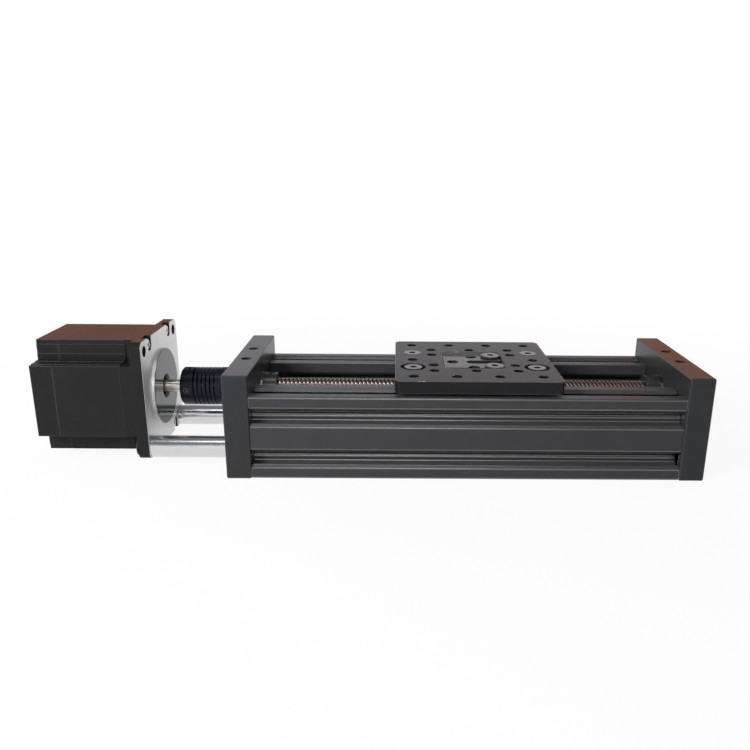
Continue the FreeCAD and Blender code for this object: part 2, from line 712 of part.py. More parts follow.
def make_nut_block():
    """Nut block: a body round the screw, a flange under the plate and a top in the plate's window."""
    body = new_body("nut_block", x=d.carriage_rest)
    low = d.axis_height - d.block_drop
    flange_low = CARRIAGE_LOW - d.axle_spacer_height
    grid, zero = d.hole_grid, sized(0)
    pad(body, Drawing(body, "XY_Plane", low).rectangle(zero, zero, d.block_body_length, d.block_body_width),
        flange_low - low)
    margin = d.block_flange_margin
    flange = Drawing(body, "XY_Plane", flange_low)
    flange.rectangle(zero, zero, (grid * 2 + margin) * 2, (grid + margin) * 2)
    pad(body, flange, d.axle_spacer_height)
    top = Drawing(body, "XY_Plane", CARRIAGE_LOW)
    top.rectangle(zero, zero, (WINDOW_HALF_X - d.block_window_gap) * 2, d.block_width)
    pad(body, top, BLOCK_TOP - CARRIAGE_LOW)
    lugs = Drawing(body, "XY_Plane", CARRIAGE_LOW).circles(BLOCK_SCREWS, d.block_lug_dia / 2)
    pad(body, lugs, BLOCK_TOP - CARRIAGE_LOW)

    bore = Drawing(body, "YZ_Plane").circle(0, d.axis_height, d.screw_dia / 2 + d.running_gap)
    pocket(body, bore)
    holes = Drawing(body, "XY_Plane", BLOCK_TOP)
    holes.circles([(-grid, zero), (zero, grid), (zero, -grid)], d.clearance_hole / 2)
    pocket(body, holes, d.block_hole_depth)
    slot = Drawing(body, "XY_Plane", BLOCK_TOP).circle(0, 0, d.block_slot / 2)
    pocket(body, slot, d.block_hole_depth)
    reach = WINDOW_HALF_X
    run = Drawing(body, "XY_Plane", BLOCK_TOP).rectangle(reach / 2, zero, reach, d.block_slot)
    pocket(body, run, BLOCK_TOP - CARRIAGE_LOW)
    taps = Drawing(body, "XY_Plane", BLOCK_TOP).circles(BLOCK_SCREWS, d.thread / 2)
    pocket(body, taps, d.block_screw_length)
    ways = Drawing(body, "XY_Plane", flange_low).circles(FIXING_SCREWS, d.clearance_hole / 2)
    pocket(body, ways, d.axle_spacer_height, forward=True)
    seats = Drawing(body, "XY_Plane", flange_low).circles(FIXING_SCREWS, d.button_dia / 2 + d.running_gap)
    pocket(body, seats, d.block_screw_seat, forward=True)

    make_rings("nut_block_washers", BLOCK_SCREWS, "XY_Plane", BLOCK_TOP, d.washer_dia / 2,
               d.thread / 2 + d.fit, d.washer_thickness, x=d.carriage_rest)
    make_button_screws("nut_block_screws", BLOCK_SCREWS, "XY_Plane", BLOCK_TOP + d.washer_thickness,
                       d.block_screw_length, back=False, x=d.carriage_rest)
    make_button_screws("block_fixing_screws", FIXING_SCREWS, "XY_Plane", flange_low + d.block_screw_seat,
                       d.axle_spacer_height - d.block_screw_seat + d.block_screw_bite, back=True,
                       x=d.carriage_rest)


def make_axles():
    """Axle screws and what they clamp: spacers, shims, inner rings and nuts."""
    everywhere = axle_places((-1, 1))
    wheel_low = ARM_CENTRE - STACK / 2
    nut_low = wheel_low - d.axle_shim - d.nut_height
    rest = d.carriage_rest
    make_button_screws("axle_screws", everywhere, "XY_Plane", CARRIAGE_TOP,
                       CARRIAGE_TOP - nut_low + d.axle_end_proud, back=False, x=rest)

    make_rings("plain_spacers", axle_places((1,)), "XY_Plane", CARRIAGE_LOW - d.axle_spacer_height,
               d.axle_spacer_dia / 2, d.thread / 2 + d.fit, d.axle_spacer_height, x=rest)

    eccentric = new_body("eccentric_spacers", x=rest)
    hexes = Drawing(eccentric, "XY_Plane", CARRIAGE_LOW - d.axle_spacer_height)
    for x, y in axle_places((-1,), d.eccentricity):
        hexes.hexagon(x, y, d.eccentric_flats)
    pad(eccentric, hexes, d.axle_spacer_height)
    bosses = Drawing(eccentric, "XY_Plane", CARRIAGE_LOW)
    bosses.circles(axle_places((-1,), d.eccentricity), d.eccentric_boss_dia / 2)
    pad(eccentric, bosses, d.carriage_thickness)
    bores = Drawing(eccentric, "XY_Plane").circles(axle_places((-1,)), d.thread / 2 + d.fit)
    pocket(eccentric, bores)

    bore = d.thread / 2 + d.fit
    make_rings("wheel_bearing_inners", everywhere, "XY_Plane", wheel_low, d.wheel_bearing_inner_dia / 2, bore,
               STACK, x=rest)
    shims = make_rings("axle_shims", everywhere, "XY_Plane", wheel_low - d.axle_shim,
                       d.wheel_bearing_inner_dia / 2, bore, d.axle_shim, x=rest)
    upper = Drawing(shims, "XY_Plane", wheel_low + STACK)
    upper.circles(everywhere, d.wheel_bearing_inner_dia / 2)
    upper.circles(everywhere, bore)
    pad(shims, upper, d.axle_shim)

    nuts = new_body("axle_nuts", x=rest)
    faces = Drawing(nuts, "XY_Plane", nut_low)
    for x, y in everywhere:
        faces.hexagon(x, y, d.nut_flats)
    faces.circles(everywhere, bore)
    pad(nuts, faces, d.nut_height)


def make_wheels():
    """V-edged wheels on upright axles, each with its pair of bearings."""
    outer, crown, half = d.wheel_dia / 2, d.wheel_crown / 2, d.wheel_width / 2
    shoulder = outer - (half - crown)
    seat = d.wheel_bearing_dia / 2 + d.fit
    names = ("near_left", "near_right", "far_left", "far_right")
    for name, (x, y) in zip(names, axle_places((-1, 1))):
        place = {"x": d.carriage_rest + x, "y": y, "z": ARM_CENTRE}
        rim = new_body(f"{name}_wheel", **place)
        profile = Drawing(rim, "XZ_Plane").polygon([
            (seat, -half), (shoulder, -half), (outer, -crown),
            (outer, crown), (shoulder, half), (seat, half),
        ])
        revolve(rim, profile)
        make_rings(f"{name}_bearings", [(0, 0)], "XY_Plane", -STACK / 2, d.wheel_bearing_dia / 2,
                   d.wheel_bearing_inner_dia / 2 + d.running_gap, STACK, **place)


def make_all():
    make_beam()
    make_end_plate("motor_end_plate", -1)
    make_end_plate("far_end_plate", 1)
    outer_face = HALF_BEAM + d.plate_thickness
    shank = d.plate_thickness + d.beam_screw_grip
    make_button_screws("motor_plate_screws", PLATE_SCREWS, "YZ_Plane", -outer_face, shank, back=True)
    make_button_screws("far_plate_screws", PLATE_SCREWS, "YZ_Plane", outer_face, shank, back=False)
    make_shaft_bearing("motor_end_bearing", -HALF_BEAM - d.bearing_width, d.bearing_dia, d.bearing_inner_dia,
                       d.screw_dia, d.bearing_width)
    make_shaft_bearing("far_end_bearing", HALF_BEAM, d.bearing_dia, d.bearing_inner_dia,
                       d.screw_dia, d.bearing_width)
    make_lead_screw()
    make_thrust_shims()
    make_collars()
    make_coupling()
    make_front_bell()
    make_motor_case()
    make_shaft_bearing("motor_front_bearing", STATOR_FRONT, d.motor_bearing_dia, d.motor_bearing_inner_dia,
                       d.shaft_dia, d.motor_bearing_width)
    make_shaft_bearing("motor_rear_bearing", STATOR_REAR - d.motor_bearing_width, d.motor_bearing_dia,
                       d.motor_bearing_inner_dia, d.shaft_dia, d.motor_bearing_width)
    make_rotor()
    make_motor_mount()
    make_carriage_plate()
    make_nut_block()
    make_axles()
    make_wheels()


def check_and_write():
    doc.recompute()
    failed = [obj.Label for obj in doc.Objects if "Invalid" in obj.State or "Error" in obj.State]
    bodies = [obj for obj in doc.Objects if obj.TypeId == "PartDesign::Body"]
    failed += [body.Label for body in bodies if body.Shape.isNull() or not body.Shape.isValid()]
    if failed:
        raise RuntimeError("failed: " + ", ".join(failed))
    os.makedirs("parts", exist_ok=True)
    for body in bodies:
        body.Shape.exportStep(f"parts/{body.Label}.step")
        print(body.Label, len(body.Shape.Solids), round(body.Shape.Volume, 1))


make_all()
check_and_write()
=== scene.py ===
import json
import math
from contextlib import contextmanager

import bpy
from mathutils import Matrix, Vector

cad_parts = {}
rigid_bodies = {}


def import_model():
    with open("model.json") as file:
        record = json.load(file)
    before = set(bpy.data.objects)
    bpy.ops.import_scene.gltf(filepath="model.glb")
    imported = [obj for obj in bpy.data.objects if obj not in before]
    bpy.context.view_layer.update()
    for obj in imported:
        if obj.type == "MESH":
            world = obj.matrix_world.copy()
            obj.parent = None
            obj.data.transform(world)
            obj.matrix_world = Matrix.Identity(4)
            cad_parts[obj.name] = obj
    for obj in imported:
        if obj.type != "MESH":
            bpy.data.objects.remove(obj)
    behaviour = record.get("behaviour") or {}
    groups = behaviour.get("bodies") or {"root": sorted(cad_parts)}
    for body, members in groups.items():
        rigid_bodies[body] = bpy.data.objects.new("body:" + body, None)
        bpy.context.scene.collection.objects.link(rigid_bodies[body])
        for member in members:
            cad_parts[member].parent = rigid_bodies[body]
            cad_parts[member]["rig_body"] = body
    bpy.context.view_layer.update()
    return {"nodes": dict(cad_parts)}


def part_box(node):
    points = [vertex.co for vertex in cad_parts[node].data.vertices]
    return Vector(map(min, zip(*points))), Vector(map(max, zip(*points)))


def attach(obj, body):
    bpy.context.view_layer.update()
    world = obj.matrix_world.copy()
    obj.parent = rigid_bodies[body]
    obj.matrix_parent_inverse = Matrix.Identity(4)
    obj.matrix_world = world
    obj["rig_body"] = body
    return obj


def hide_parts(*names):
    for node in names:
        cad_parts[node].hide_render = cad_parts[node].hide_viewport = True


# Looks of the lead screw slide, in metres and in the model's own frame: +X runs along the beam away from
# the motor, +Z is up, and the beam stands on the floor at Z 0.

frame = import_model()
nodes = frame["nodes"]

MM = 0.001
TURN = 2 * math.pi
WELD = 0.002 * MM
LATHE_WELD = 0.0002 * MM

# Angles between faces that are merged, eased or shaded as one surface
FLAT_ANGLE = math.radians(0.5)
SHARP_ANGLE = math.radians(30)
TURNED_SHARP_ANGLE = math.radians(35)
SMOOTH_ANGLE = math.radians(40)
THREAD_SMOOTH_ANGLE = math.radians(35)

# Places read from the frame
screw_low, screw_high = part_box("lead_screw")
AXIS_Z = (screw_low.z + screw_high.z) / 2
CREST_RADIUS = (screw_high.z - screw_low.z) / 2
MOTOR_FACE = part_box("near_spacer")[0].x
BEAM_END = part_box("c_beam")[1].x
BLOCK_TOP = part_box("nut_block")[1].z

# Window of the carriage plate, and the thread lines in its tapped holes
WINDOW_HALF_X = 15.0 * MM
WINDOW_HALF_Y = 16.0 * MM
TAP_PITCH = 0.8 * MM
TAP_SLANT = 6.0 * MM

# Sheets of the motor's stator
SHEET_PITCH = 0.5 * MM

# Thread of the lead screw: four starts, so that one turn advances four pitches
THREAD_PITCH = 2.0 * MM
THREAD_STARTS = 4
THREAD_DEPTH = 1.1 * MM
FLANK_RUN = 0.32 * MM
THREAD_STEPS = 48
END_CHAMFER = THREAD_DEPTH

# Screws
SPIN_STEPS = 56
ARC_STEPS = 8
BUTTON_RADIUS = 4.4 * MM
BUTTON_HEIGHT = 1.2 * MM
BUTTON_FLAT = 4.2 * MM
BUTTON_RIM = 1.0 * MM
BUTTON_UNDER = 1.0 * MM
BUTTON_KEY = 3.0 * MM
BUTTON_KEY_DEPTH = 1.3 * MM
SHANK_RADIUS = 2.45 * MM
SHANK_CHAMFER = 0.5 * MM
FLAT_RADIUS = 4.3 * MM
FLAT_RIM = 0.3 * MM
FLAT_PROUD = 0.1 * MM
FLAT_GAP = 0.25 * MM
FLAT_KEY = 3.2 * MM
FLAT_KEY_DEPTH = 1.6 * MM
PAN_HEIGHT = 2.4 * MM
PAN_RADIUS = 2.7 * MM
PAN_FLAT = 1.9 * MM
PAN_RIM = 1.55 * MM
PAN_UNDER = 0.3 * MM
CASE_SHANK_RADIUS = 1.5 * MM
CROSS_LENGTH = 3.0 * MM
CROSS_WIDTH = 0.7 * MM
CROSS_DEPTH = 1.2 * MM
SET_KEY = 2.0 * MM
SET_KEY_DEPTH = 1.5 * MM
SET_CHAMFER = 0.3 * MM

# Slope under a head, and the conical floor of a socket as shares of its width
UNDER_SLOPE = 0.6
SOCKET_CONE_DEPTH = 0.25
SOCKET_CONE_TIP = 0.1

# Widths of rounded edges
EDGE_SEGMENTS = 2
BEAM_CORNER = 0.4 * MM
BEAM_CORNER_SEGMENTS = 4
BEAM_EDGE = 0.08 * MM
PLATE_EDGE = 0.12 * MM
COLLAR_EDGE = 0.25 * MM
CARRIAGE_EDGE = 0.22 * MM
BLOCK_EDGE = 0.25 * MM
WASHER_EDGE = 0.12 * MM
BELL_EDGE = 0.3 * MM
STATOR_EDGE = 0.2 * MM
GROMMET_EDGE = 0.3 * MM
SPACER_EDGE = 0.35 * MM
WHEEL_EDGE = 0.25 * MM
AXLE_EDGE = 0.2 * MM
FLAT_SCREW_EDGE = 0.08 * MM
BUTTON_SCREW_EDGE = 0.07 * MM
PAN_SCREW_EDGE = 0.05 * MM
SET_SCREW_EDGE = 0.04 * MM

# Tilt of the beam's slot lips and a margin for tilts, in degrees
LIP_TILT = 45
TILT_MARGIN = 3

# Least length of an edge that runs along the beam, and the most that a face along it turns towards X
LONG_EDGE = 1.0 * MM
MOST_TURN = 0.3

# Normal below which a face looks down
DOWNWARD = -0.9

# Camera fitted to the photograph, whose frame is square
FRAME_PIXELS = 750
FOCAL_PIXELS = 747.035
OPTICAL_AXIS_PIXEL = (402.54, 391.61)
CAMERA_PLACE = Vector((-33.345, -362.054, 143.451)) * MM
CAMERA_AZIMUTH = math.radians(0.593)
CAMERA_DOWN = math.radians(17.319)
CAMERA_ROLL = math.radians(0.559)
SENSOR_WIDTH = 36.0
CLIP_START = 0.01

# World: its light on the object as a share of its look, and the heights between which it turns grey
WORLD_LIGHT = 0.10
WHITE = (1, 1, 1, 1)
OVERHEAD_GREY = (0.20, 0.22, 0.25, 1)
OVERHEAD_RISE = (0.25, 0.65)

# Floor: the share of its own light, and the distances between which that share rises to the whole
FLOOR_SIZE = 8.0
FLOOR_GAP = 0.02 * MM
FLOOR_GREY = (0.55, 0.55, 0.55, 1)
FLOOR_ROUGHNESS = 0.9
FLOOR_GLOW = 0.92
FLOOR_GLOW_RISE = (0.1, 0.45)


# Working on one object at a time

def alone(piece):
    """Selects one object and nothing else."""
    bpy.ops.object.select_all(action="DESELECT")
    piece.select_set(True)
    bpy.context.view_layer.objects.active = piece


@contextmanager
def edit_mode(piece):
    """Edit mode on one piece, with what is selected of it."""
    alone(piece)
    bpy.ops.object.mode_set(mode="EDIT")
    yield
    bpy.ops.object.mode_set(mode="OBJECT")


@contextmanager
def editing(piece):
    """Edit mode on one piece, with all of it selected."""
    with edit_mode(piece):
        bpy.ops.mesh.select_mode(type="VERT")
        bpy.ops.mesh.select_all(action="SELECT")
        yield


def unselect(piece, kind):
    """Leaves nothing of a piece selected, so that some of its faces or edges can be."""
    with edit_mode(piece):
        bpy.ops.mesh.select_mode(type=kind)
        bpy.ops.mesh.select_all(action="DESELECT")


def modified(piece, kind, **settings):
    """Adds one modifier with its settings and applies it."""
    alone(piece)
    modifier = piece.modifiers.new(kind.title(), kind)
    for name, value in settings.items():
        setattr(modifier, name, value)
    bpy.ops.object.modifier_apply(modifier=modifier.name)


def shaded(piece, angle):
    """Shades a piece smooth, but for the edges sharper than an angle."""
    alone(piece)
    bpy.ops.object.shade_smooth_by_angle(angle=angle)


def eased(piece, width, sharp=SHARP_ANGLE):
    """Rounds a piece's sharp edges, in its last finish, and shades flat faces flat and curved ones smooth."""
    modified(piece, "BEVEL", width=width, segments=EDGE_SEGMENTS, limit_method="ANGLE", angle_limit=sharp,
             use_clamp_overlap=False, material=len(piece.data.materials) - 1)
    shaded(piece, SMOOTH_ANGLE)
    modified(piece, "WEIGHTED_NORMAL", keep_sharp=True)


def start(name, add, **options):
    """Adds one primitive by itself and names it."""
    bpy.ops.object.select_all(action="DESELECT")
    add(**options)
    piece = bpy.context.object
    piece.name = name
    piece.data.name = name
    return piece


def drawn(name, points):
    """A line of edges through the points, drawn from one vertex."""
    piece = start(name, bpy.ops.mesh.primitive_plane_add, size=MM)
    with editing(piece):
        bpy.ops.mesh.merge(type="CENTER")
        bpy.ops.transform.translate(value=points[0])
        for before, after in zip(points, points[1:]):
            step = Vector(after) - Vector(before)
            bpy.ops.mesh.extrude_vertices_move(TRANSFORM_OT_translate={"value": step})
    return piece


def turned(name, outline):
    """A lathe piece about Z, from an outline of (radius, height) pairs that is closed or ends on the axis."""
    piece = drawn(name, [Vector((radius, 0, height)) for radius, height in outline])
    with editing(piece):
        bpy.ops.mesh.spin(steps=SPIN_STEPS, angle=TURN, center=(0, 0, 0), axis=(0, 0, 1))
        bpy.ops.mesh.select_all(action="SELECT")
        bpy.ops.mesh.remove_doubles(threshold=LATHE_WELD)
        bpy.ops.mesh.normals_make_consistent(inside=False)
    return piece


def cut(piece, cutter):
    """Takes one object away from another."""
    modified(piece, "BOOLEAN", object=cutter, operation="DIFFERENCE", solver="EXACT")
    bpy.data.objects.remove(cutter)


def key_socket(piece, flats, top, depth):
    """Sinks a hexagonal socket with a conical floor into the top of a screw."""
    cutter = start("socket", bpy.ops.mesh.primitive_cylinder_add, vertices=6, radius=flats / math.sqrt(3),
                   depth=depth * 2, location=(0, 0, top))
    unselect(cutter, "FACE")
    for face in cutter.data.polygons:
        face.select = face.normal.z < DOWNWARD
    with edit_mode(cutter):
        drop = (0, 0, -flats * SOCKET_CONE_DEPTH)
        bpy.ops.mesh.extrude_region_move(TRANSFORM_OT_translate={"value": drop})
        bpy.ops.transform.resize(value=(SOCKET_CONE_TIP, SOCKET_CONE_TIP, 1))
    cut(piece, cutter)


def cross_socket(piece, top):
    """Sinks a cross recess into the top of a screw."""
    for size in ((CROSS_LENGTH, CROSS_WIDTH), (CROSS_WIDTH, CROSS_LENGTH)):
        cutter = start("socket", bpy.ops.mesh.primitive_cube_add, size=1, location=(0, 0, top),
                       scale=(*size, CROSS_DEPTH * 2))
        cut(piece, cutter)


def facing(direction, place):
    """The matrix that stands a piece's Z along a direction at a place."""
    return Matrix.Translation(place) @ Vector(direction).to_track_quat("Z", "Y").to_matrix().to_4x4()


def placed(piece, place):
    """Moves a piece to a place and puts that place into its mesh."""
    alone(piece)
    piece.matrix_world = place
    bpy.ops.object.transform_apply(location=True, rotation=True, scale=True)
    return piece


def copied(pattern, places, name):
    """Copies of one modelled piece, one for each place, as one object of separate shells."""
    made = []
    for place in places:
        copy = pattern.copy()
        copy.data = pattern.data.copy()
        bpy.context.scene.collection.objects.link(copy)
        made.append(placed(copy, place))
    bpy.data.objects.remove(pattern)
    alone(made[0])
    for copy in made:
        copy.select_set(True)
    bpy.ops.object.join()
    made[0].name = name
    made[0].data.name = name
    return made[0]


def merged_copy(node, name):
    """A copy of a CAD node's mesh with its loose triangles merged."""
    piece = bpy.data.objects.new(name, nodes[node].data.copy())
    piece.data.name = name
    bpy.context.scene.collection.objects.link(piece)
    with editing(piece):
        bpy.ops.mesh.customdata_custom_splitnormals_clear()
        bpy.ops.mesh.remove_doubles(threshold=WELD)
    return piece


def solids(node):
    """The lowest and highest corner of each separate solid of a CAD node."""
    before = set(bpy.data.objects)
    piece = merged_copy(node, "apart")
    with editing(piece):
        bpy.ops.mesh.separate(type="LOOSE")
    apart = [part for part in bpy.data.objects if part not in before]
    boxes = []
    for part in apart:
        corners = [Vector(corner) for corner in part.bound_box]
        boxes.append((Vector(map(min, *corners)), Vector(map(max, *corners))))
    for part in apart:
        bpy.data.objects.remove(part)
    return boxes


def painted(piece, *finishes):
    """Gives a piece its finishes: the first for its faces, and the last for edges that are eased later."""
    piece.data.materials.clear()
    for finish in finishes:
        piece.data.materials.append(finish)
    return piece


def stand_for(piece, node):
    """Lets a modelled piece stand for a CAD node, on that node's body."""
    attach(piece, nodes[node]["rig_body"])
    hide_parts(node)


def sink(piece, screws):
    """Countersinks a piece for the flat screws that stand for a CAD node of button screws.

    The cone widens at 45 degrees up to the top of the CAD screw's head, so that it clears the flat head at
    the face on which the CAD head stands."""
    depth = FLAT_RADIUS + FLAT_GAP + BUTTON_HEIGHT - SHANK_RADIUS
    for low, high in solids(screws):
        middle = (low + high) / 2
        cone = start("countersink", bpy.ops.mesh.primitive_cone_add, vertices=SPIN_STEPS,
                     radius1=SHANK_RADIUS, radius2=SHANK_RADIUS + depth, depth=depth,
                     location=(middle.x, middle.y, high.z - depth / 2))
        cut(piece, cone)


def whole_faces(node, screws=None):
    """A copy of a CAD node, countersunk if it takes flat screws, with its flat faces in one piece."""
    piece = merged_copy(node, f"{node}_eased")
    if screws:
        sink(piece, screws)
    with editing(piece):
        bpy.ops.mesh.dissolve_limited(angle_limit=FLAT_ANGLE)
    return piece


def spare_inner_corners(piece):
    """Gives the roundings in inner corners, which nothing rubs, the finish of the faces beside them and not
    the edges' painted sheen.
    """
    faces = piece.data.polygons
    sides = {}
    for face in faces:
        for key in face.edge_keys:
            sides.setdefault(key, []).append(face)
    inner = []
    for face in faces:
        if face.material_index == 0:
            continue
        beside = [other for key in face.edge_keys for other in sides[key] if other.material_index == 0]
        if sum((other.center - face.center).dot(face.normal) for other in beside) > 0:
            inner.append(face)
    for face in inner:
        face.material_index = 0


def dress(node, edge, *finishes, screws=None):
    """A CAD node with whole faces and eased edges, in its finish or in one for faces and one for edges."""
    piece = painted(whole_faces(node, screws), *finishes)
    eased(piece, edge)
    if len(finishes) > 1:
        spare_inner_corners(piece)
    stand_for(piece, node)


def finish_node(node, finish):
    """A CAD node as it is, in its finish."""
    painted(nodes[node], finish)


# Finishes

class Value:
    """One value that changes over a surface. Arithmetic on it adds Math nodes to its shader."""

    def __init__(self, shader, socket):
        self.shader = shader
        self.socket = socket

    def maths(self, operation, *others):
        return self.shader.node("Math", dict(enumerate((self, *others))), operation=operation)

    def __add__(self, other):
        return self.maths("ADD", other)

    def __sub__(self, other):
        return self.maths("SUBTRACT", other)

    def __mul__(self, other):
        return self.maths("MULTIPLY", other)

    def __pow__(self, other):
        return self.maths("POWER", other)

    def __rsub__(self, other):
        return self * -1 + other

    def size(self):
        return self.maths("ABSOLUTE")

    def larger(self, other):
        return self.maths("MAXIMUM", other)

    def wave(self):
        """Goes from 0 to 1 and back each time the value grows by a turn."""
        return self.maths("SINE") * 0.5 + 0.5

    def rising(self, low, high):
        """0 below low and 1 above high, smooth between them; falling where low is above high."""
        if low > high:
            return 1 - self.rising(high, low)
        inputs = {"Value": self, "From Min": low, "From Max": high}
        return self.shader.node("MapRange", inputs, interpolation_type="SMOOTHSTEP")

    def parts(self):
        """X, Y and Z of a vector."""
        split = self.shader.node("SeparateXYZ", {0: self})
        return [Value(self.shader, socket) for socket in split.socket.node.outputs]


class Shader:
    """The nodes of a material or of the world."""

    def __init__(self, owner):
        owner.use_nodes = True
        self.tree = owner.node_tree

    def fill(self, socket, value):
        """Gives a socket a number or a colour, or links a value to it."""
        if isinstance(value, Value):
            self.tree.links.new(value.socket, socket)
        else:
            socket.default_value = value

    def node(self, kind, inputs=None, output=0, **settings):
        """Adds a node, with its settings and what goes into its sockets."""
        made = self.tree.nodes.new("ShaderNode" + kind)
        for name, value in settings.items():
            setattr(made, name, value)
        for socket, value in (inputs or {}).items():
            self.fill(made.inputs[socket], value)
        return Value(self, made.outputs[output])

    def blend(self, factor, first, second):
        """A colour between two, by a factor from 0 to 1."""
        return self.node("Mix", {0: factor, 6: first, 7: second}, output=2, data_type="RGBA")

    def show(self, surface):
        """Makes a surface the one that the material shows."""
        self.fill(self.tree.nodes["Material Output"].inputs["Surface"], surface)


class Finish(Shader):
    """One procedural material: a Principled surface and the nodes that vary it."""

    def __init__(self, name, **constants):
        self.material = bpy.data.materials.new(name)
        super().__init__(self.material)
        self.surface = self.tree.nodes["Principled BSDF"]
        self.vary(**constants)
        self.coordinates = self.node("TexCoord", output="Object")
        self.bumps = None

    def axes(self):
        """X, Y and Z of the place on the piece."""
        return self.coordinates.parts()

    def normal(self):
        """X, Y and Z of the direction that the surface faces."""
        return self.node("NewGeometry", output="Normal").parts()

    def off_axis(self):
        """The distance from the lead screw's axis."""
        x, y, z = self.axes()
        return (y * y + (z - AXIS_Z) ** 2.0) ** 0.5

    def noise(self, size, detail=2.0, stretch=(1, 1, 1)):
        """Noise of about that size, from 0 to 1; a stretch above 1 draws it out along that axis."""
        scale = [1 / (size * along) for along in stretch]
        place = self.node("Mapping", {"Vector": self.coordinates, "Scale": scale})
        return self.node("TexNoise", {"Vector": place, "Scale": 1.0, "Detail": detail}, output="Fac")

    def specks(self, spacing, radius, share):
        """Round specks, of which only a share of the places on a grid of that spacing has one."""
        cells = self.node("TexVoronoi", {"Vector": self.coordinates, "Scale": 1 / spacing})
        chosen = Value(self, cells.socket.node.outputs["Color"])
        pick = self.node("SeparateColor", {0: chosen})
        reach = radius / spacing
        ragged = cells + (self.noise(radius / 2) - 0.5) * reach
        return ragged.rising(reach, reach / 2) * pick.rising(1 - share, 1 - share + 0.01)

    def vary(self, **inputs):
        """Gives the surface's sockets numbers, colours or values."""
        for socket, value in inputs.items():
            self.fill(self.surface.inputs[socket.replace("_", " ")], value)
        return self

    def bump(self, height, depth):
        """Raises the surface by a height from 0 to 1, times a depth; each bump adds to the ones before it."""
        inputs = {"Height": height, "Strength": 1.0, "Distance": depth}
        if self.bumps:
            inputs["Normal"] = self.bumps
        self.bumps = self.node("Bump", inputs)
        return self.vary(Normal=self.bumps)


def grey(level, warmth=0.0):
    """A grey, a little warmer above 0 and cooler below it."""
    return (level * (1 + warmth), level, level * (1 - warmth), 1.0)


def dimmed(colour, share):
    """A colour at a share of its brightness."""
    red, green, blue, alpha = colour
    return (red * share, green * share, blue * share, alpha)


# Metal where a black finish is gone: sawn off, chipped, milled away in the carriage's window
SAWN_METAL = grey(0.6)
CHIPPED_METAL = grey(0.7)
MILLED_METAL = grey(0.28)

# Reflections in black anodising have a trace of violet from its dye
BLACK_SHEEN = (0.94, 0.93, 1.0, 1)


def beam_anodising(name, gloss):
    """Black anodised extrusion: faint die lines along X and a fine grain, and bare where it was sawn off."""
    finish = Finish(name, IOR=gloss, Specular_Tint=BLACK_SHEEN)
    end = finish.axes()[0].size().rising(BEAM_END - 0.12 * MM, BEAM_END - 0.06 * MM)
    cloud = finish.noise(18 * MM)
    lines = finish.noise(0.5 * MM, detail=3.0, stretch=(400, 1, 1))
    grain = finish.noise(0.12 * MM)
    black = finish.blend(cloud, (0.0295, 0.029, 0.0322, 1), (0.039, 0.0383, 0.0423, 1))
    finish.vary(Base_Color=finish.blend(end, black, SAWN_METAL), Metallic=end,
                Roughness=lines * 0.14 + grain * 0.08 + 0.22)
    return finish.bump(lines, 0.012 * MM).bump(grain, 0.006 * MM).material


def rubbed_sheen_edges(name, gloss, worn):
    """Edges of a black finish, rubbed smooth and given a stronger reflection than the finish has, a painted
    sheen, so that they catch the light.

    They are chipped on top, where noise is above the level at which they are worn through."""
    finish = Finish(name, IOR=gloss)
    wear = finish.noise(2 * MM, detail=3.0, stretch=(12, 1, 1))
    grain = finish.noise(0.1 * MM)
    patches = finish.noise(2.5 * MM, detail=3.0, stretch=(1.6, 1, 1)).rising(worn, worn + 0.04)
    chips = patches * finish.normal()[2].rising(0.1, 0.4)
    black = finish.blend(wear, grey(0.02), grey(0.035))
    finish.vary(Base_Color=finish.blend(chips, black, CHIPPED_METAL), Metallic=chips,
                Roughness=wear * 0.16 + grain * 0.06 + 0.14)
    return finish.bump(grain, 0.004 * MM).material


def plate_anodising():
    """Black anodised plate with a fine blasted grain and the faintest of milling lines."""
    finish = Finish("plate_anodising", IOR=1.29, Specular_Tint=BLACK_SHEEN)
    cloud = finish.noise(14 * MM)
    grain = finish.noise(0.14 * MM, detail=3.0)
    milling = finish.noise(0.4 * MM, stretch=(120, 1, 1))
    finish.vary(Base_Color=finish.blend(cloud, grey(0.0172, -0.04), grey(0.0224, -0.05)),
                Roughness=grain * 0.1 + milling * 0.06 + 0.22)
    return finish.bump(grain, 0.006 * MM).bump(milling, 0.004 * MM).material


def tapped_anodising():
    """The carriage plate's anodising: threads in its tapped holes, and a bare milled window kept black below
    the nut block as painted shade.
    """
    finish = Finish("tapped_anodising", IOR=1.28, Specular_Tint=BLACK_SHEEN)
    x, y, z = finish.axes()
    low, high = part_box("gantry_plate")
    middle = (low + high) / 2
    from_middle_x, from_middle_y = (x - middle.x).size(), y.size()
    wall = finish.normal()[2].size().rising(0.5, 0.2)

    edge_x, edge_y = high.x - middle.x, high.y
    within_plate = (from_middle_x.rising(edge_x - 1.0 * MM, edge_x - 2.0 * MM)
                    * from_middle_y.rising(edge_y - 1.0 * MM, edge_y - 2.0 * MM))
    within_window = (from_middle_x.rising(WINDOW_HALF_X + 0.4 * MM, WINDOW_HALF_X + 0.2 * MM)
                     * from_middle_y.rising(WINDOW_HALF_Y + 0.4 * MM, WINDOW_HALF_Y + 0.2 * MM))
    # Below a little under the nut block's top the window's walls keep the black, as painted shade between
    # block and plate
    bare = wall * within_window * z.rising(BLOCK_TOP - 1.5 * MM, BLOCK_TOP - 0.9 * MM)
    threads = (z * (TURN / TAP_PITCH) + x * (TURN / TAP_SLANT)).wave() * (wall - bare) * within_plate

    cloud = finish.noise(16 * MM)
    grain = finish.noise(0.14 * MM, detail=3.0)
    brushing = finish.noise(0.35 * MM, stretch=(90, 1, 1))
    black = finish.blend(cloud, grey(0.004, -0.15), grey(0.006, -0.12))
    finish.vary(Base_Color=finish.blend(bare, black, MILLED_METAL), Metallic=bare,
                Roughness=grain * 0.08 + brushing * 0.08 + bare * 0.25 + 0.24)
    return finish.bump(grain, 0.005 * MM).bump(brushing, 0.004 * MM).bump(threads, 0.25 * MM).material


